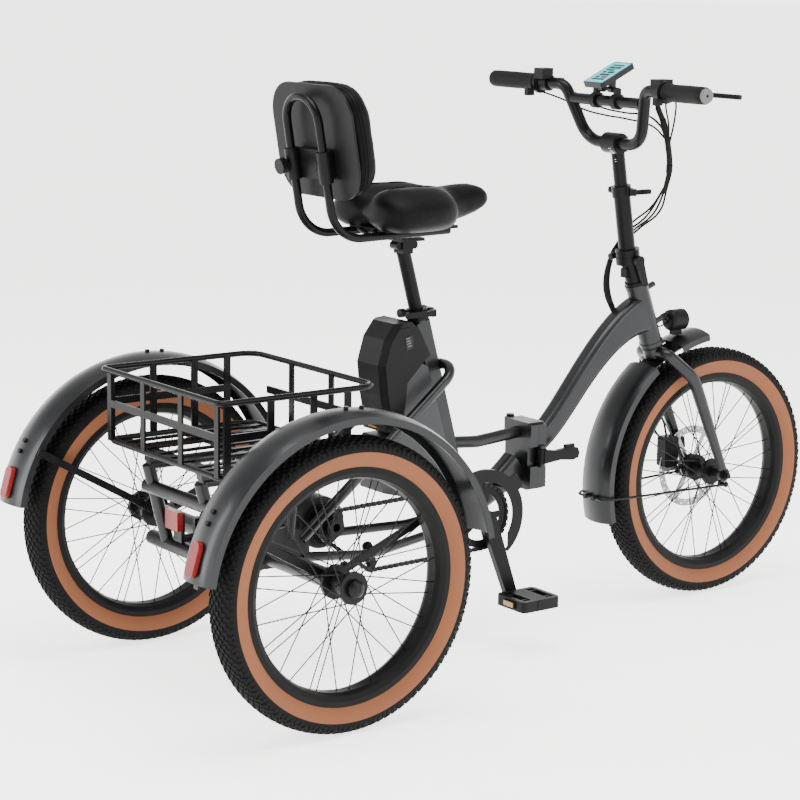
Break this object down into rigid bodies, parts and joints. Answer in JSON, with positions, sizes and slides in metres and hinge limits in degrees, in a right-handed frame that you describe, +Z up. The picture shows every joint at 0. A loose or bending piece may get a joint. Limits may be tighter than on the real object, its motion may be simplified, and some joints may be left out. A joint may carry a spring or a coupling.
{
  "type": "adult electric tricycle",
  "caption": "Folding electric tricycle for an adult, with a padded seat and backrest, a folding stem, fenders and a rear basket.",
  "frame": {"origin": "on the ground, half way along the machine, on its middle plane", "axes": "+X forward, +Y the rider's left, +Z up"},
  "size_m": [1.7506, 0.764, 1.1323],
  "materials": {
    "graphite_paint": "satin dark grey paint",
    "black_paint": "satin black paint",
    "black_alloy": "black anodised alloy",
    "bare_steel": "bright steel",
    "dark_steel": "dark bolt steel",
    "cast_metal": "dark casting",
    "tyre_rubber": "black tread, tan sidewalls",
    "black_rubber": "matt rubber",
    "black_plastic": "moulded plastic",
    "grey_plastic": "grey moulding",
    "gloss_black": "glossy cover",
    "red_lens": "reflector lens",
    "leather_black": "soft synthetic cover"
  },
  "bodies": {
    "rear_half": {"rear_frame": "graphite_paint", "bearings_and_pin": "dark_steel", "drive_unit": "cast_metal", "battery_dock": "grey_plastic", "seat_collar": "black_alloy", "chain": "dark_steel", "chain_guard": "black_plastic", "rear_fenders": "graphite_paint", "fender_hardware": "dark_steel", "reflectors": "red_lens", "basket": "black_paint"},
    "battery": {"battery_pack": "black_plastic"},
    "cassette": {"cassette": "dark_steel"},
    "derailleur": {"derailleur": "black_plastic"},
    "cranks": {"crankset": "black_alloy"},
    "pedal_left": {"pedal_left": "black_plastic"},
    "pedal_right": {"pedal_right": "black_plastic"},
    "rear_left_wheel": {"rear_left_tyre": "tyre_rubber", "rear_left_rim": "black_alloy", "rear_left_spokes": "dark_steel", "rear_left_hub": "dark_steel"},
    "rear_right_wheel": {"rear_right_tyre": "tyre_rubber", "rear_right_rim": "black_alloy", "rear_right_spokes": "dark_steel", "rear_right_hub": "dark_steel"},
    "front_half": {"front_frame": "graphite_paint", "headlight": "black_plastic", "headset": "black_alloy"},
    "hinge_lever": {"hinge_lever": "black_alloy"},
    "steering": {"fork": "graphite_paint", "front_axle": "dark_steel", "front_fender": "graphite_paint", "front_fender_stay": "dark_steel", "front_caliper": "black_alloy", "stem_base": "black_alloy"},
    "front_wheel": {"front_tyre": "tyre_rubber", "front_rim": "black_alloy", "front_spokes": "dark_steel", "front_hub": "black_alloy", "front_rotor": "bare_steel"},
    "stem": {"stem_tube": "black_alloy"},
    "stem_latch": {"stem_latch": "black_alloy"},
    "stem_lever": {"stem_lever": "black_alloy"},
    "bar": {"stem_upper_tube": "black_alloy", "handlebar": "black_paint", "grips": "black_rubber", "bar_fittings": "black_plastic", "control_cables": "black_rubber"},
    "brake_lever_left": {"brake_lever_left": "black_alloy"},
    "brake_lever_right": {"brake_lever_right": "black_alloy"},
    "throttle": {"throttle_lever": "black_plastic"},
    "shifter": {"shift_lever": "black_plastic"},
    "display": {"display": "gloss_black"},
    "seat": {"seat_post": "black_alloy", "saddle": "leather_black", "backrest_frame": "black_paint"},
    "seat_lever": {"seat_lever": "black_alloy"},
    "backrest": {"backrest_carrier": "black_plastic", "backrest_pad": "leather_black"},
    "backrest_knob": {"backrest_knob": "black_plastic"}
  },
  "joints": [
    {"name": "fold_hinge", "type": "hinge", "parent": "rear_half", "child": "front_half", "pos_m": [0.112, 0.046, 0.36], "axis": [0, 0, 1], "range_deg": [0, 115]},
    {"name": "hinge_lever_pivot", "type": "hinge", "parent": "front_half", "child": "hinge_lever", "pos_m": [0.12, -0.047, 0.36], "axis": [0, 0, -1], "range_deg": [0, 90]},
    {"name": "steering_turn", "type": "hinge", "parent": "front_half", "child": "steering", "pos_m": [0.447, 0, 0.55], "axis": [0.3457, 0, -0.9383], "range_deg": [-40, 40], "deforming": ["control_cables"]},
    {"name": "stem_fold", "type": "hinge", "parent": "steering", "child": "stem", "pos_m": [0.373, 0.027, 0.741], "axis": [-0.9864, 0, -0.1644], "range_deg": [0, 80], "deforming": ["control_cables"]},
    {"name": "stem_latch_pivot", "type": "hinge", "parent": "steering", "child": "stem_latch", "pos_m": [0.37432, -0.034, 0.73311], "axis": [0, -1, 0], "range_deg": [0, 75]},
    {"name": "stem_lever_pivot", "type": "hinge", "parent": "stem", "child": "stem_lever", "pos_m": [0.35181, -0.0342, 0.87415], "axis": [0, 0, -1], "range_deg": [0, 120]},
    {"name": "stem_slide", "type": "slide", "parent": "stem", "child": "bar", "axis": [-0.1644, 0, 0.9864], "range_m": [-0.045, 0.04], "deforming": ["control_cables"]},
    {"name": "brake_left_pull", "type": "hinge", "parent": "bar", "child": "brake_lever_left", "pos_m": [0.32407, 0.17336, 1.08251], "axis": [0, 0, 1], "range_deg": [0, 22], "stiffness_Nm_per_rad": 1.5},
    {"name": "brake_right_pull", "type": "hinge", "parent": "bar", "child": "brake_lever_right", "pos_m": [0.32407, -0.17336, 1.08251], "axis": [0, 0, -1], "range_deg": [0, 22], "stiffness_Nm_per_rad": 1.5},
    {"name": "throttle_push", "type": "hinge", "parent": "bar", "child": "throttle", "pos_m": [0.28786, 0.18971, 1.08468], "axis": [-0.1338, 0.991, 0.0099], "range_deg": [0, 35], "stiffness_Nm_per_rad": 0.3},
    {"name": "shifter_push", "type": "hinge", "parent": "bar", "child": "shifter", "pos_m": [0.28786, -0.18971, 1.08468], "axis": [0.1338, 0.991, -0.0099], "range_deg": [0, 25], "stiffness_Nm_per_rad": 0.3},
    {"name": "display_tilt", "type": "hinge", "parent": "bar", "child": "display", "pos_m": [0.304, 0, 1.081], "axis": [0, 1, 0], "range_deg": [-15, 25]},
    {"name": "front_wheel_spin", "type": "hinge", "parent": "steering", "child": "front_wheel", "pos_m": [0.609, 0, 0.265], "axis": [0, 1, 0], "continuous": true},
    {"name": "rear_left_spin", "type": "hinge", "parent": "rear_half", "child": "rear_left_wheel", "pos_m": [-0.56, 0.338, 0.265], "axis": [0, 1, 0], "continuous": true},
    {"name": "rear_right_spin", "type": "hinge", "parent": "rear_half", "child": "rear_right_wheel", "pos_m": [-0.56, -0.338, 0.265], "axis": [0, 1, 0], "continuous": true},
    {"name": "crank_spin", "type": "hinge", "parent": "rear_half", "child": "cranks", "pos_m": [-0.048, 0, 0.262], "axis": [0, 1, 0], "continuous": true},
    {"name": "pedal_left_spin", "type": "hinge", "parent": "cranks", "child": "pedal_left", "pos_m": [-0.10809, 0.146, 0.42102], "axis": [0, 1, 0], "continuous": true},
    {"name": "pedal_right_spin", "type": "hinge", "parent": "cranks", "child": "pedal_right", "pos_m": [0.01209, -0.146, 0.10297], "axis": [0, 1, 0], "continuous": true},
    {"name": "cassette_spin", "type": "hinge", "parent": "rear_half", "child": "cassette", "pos_m": [-0.398, 0, 0.29], "axis": [0, 1, 0], "continuous": true},
    {"name": "derailleur_swing", "type": "hinge", "parent": "rear_half", "child": "derailleur", "pos_m": [-0.318, -0.066, 0.24], "axis": [0, 1, 0], "range_deg": [0, 8], "stiffness_Nm_per_rad": 2, "deforming": ["chain"]},
    {"name": "battery_slide", "type": "slide", "parent": "rear_half", "child": "battery", "axis": [-0.7804, 0, 0.6253], "range_m": [0, 0.08]},
    {"name": "seat_slide", "type": "slide", "parent": "rear_half", "child": "seat", "axis": [-0.2703, 0, 0.9628], "range_m": [-0.055, 0.06]},
    {"name": "seat_lever_pivot", "type": "hinge", "parent": "rear_half", "child": "seat_lever", "pos_m": [-0.136, -0.018, 0.666], "axis": [0, 0, 1], "range_deg": [0, 100]},
    {"name": "backrest_slide", "type": "slide", "parent": "seat", "child": "backrest", "axis": [-0.1699, 0, 0.9855], "range_m": [-0.03, 0.04]},
    {"name": "backrest_knob_spin", "type": "hinge", "parent": "backrest", "child": "backrest_knob", "pos_m": [-0.41228, 0.052, 0.95901], "axis": [-0.9855, 0, -0.1699], "continuous": true}
  ],
  "couplings": [
    {"joint": "cassette_spin", "follows": "crank_spin", "ratio": 2.195}
  ]
}
